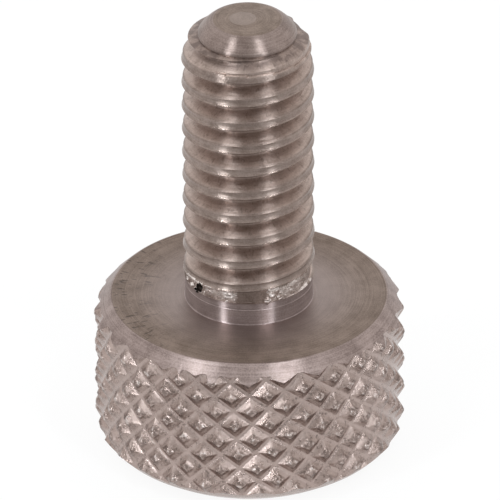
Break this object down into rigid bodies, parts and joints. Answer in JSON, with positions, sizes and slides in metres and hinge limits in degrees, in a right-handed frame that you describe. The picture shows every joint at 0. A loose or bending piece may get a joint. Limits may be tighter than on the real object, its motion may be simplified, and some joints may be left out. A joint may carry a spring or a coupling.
{
  "type": "thumb screw",
  "caption": "Thumb screw with a diamond-knurled round head, a short plain neck under it and a coarse machine thread, turned from one bar of metal; tightened by hand to clamp or adjust.",
  "frame": {"origin": "centre of the flat end of the head, which the screw stands on", "axes": "+Z along the screw's axis, from the head towards the threaded tip; +X and +Y square to it"},
  "size_m": [0.015, 0.015, 0.0231],
  "materials": {
    "turned_metal": "bare turned metal, warm grey, fine machining marks, bright burrs on the edges of the knurl and the thread"
  },
  "bodies": {
    "root": {"thumb_screw": "turned_metal"}
  },
  "joints": []
}
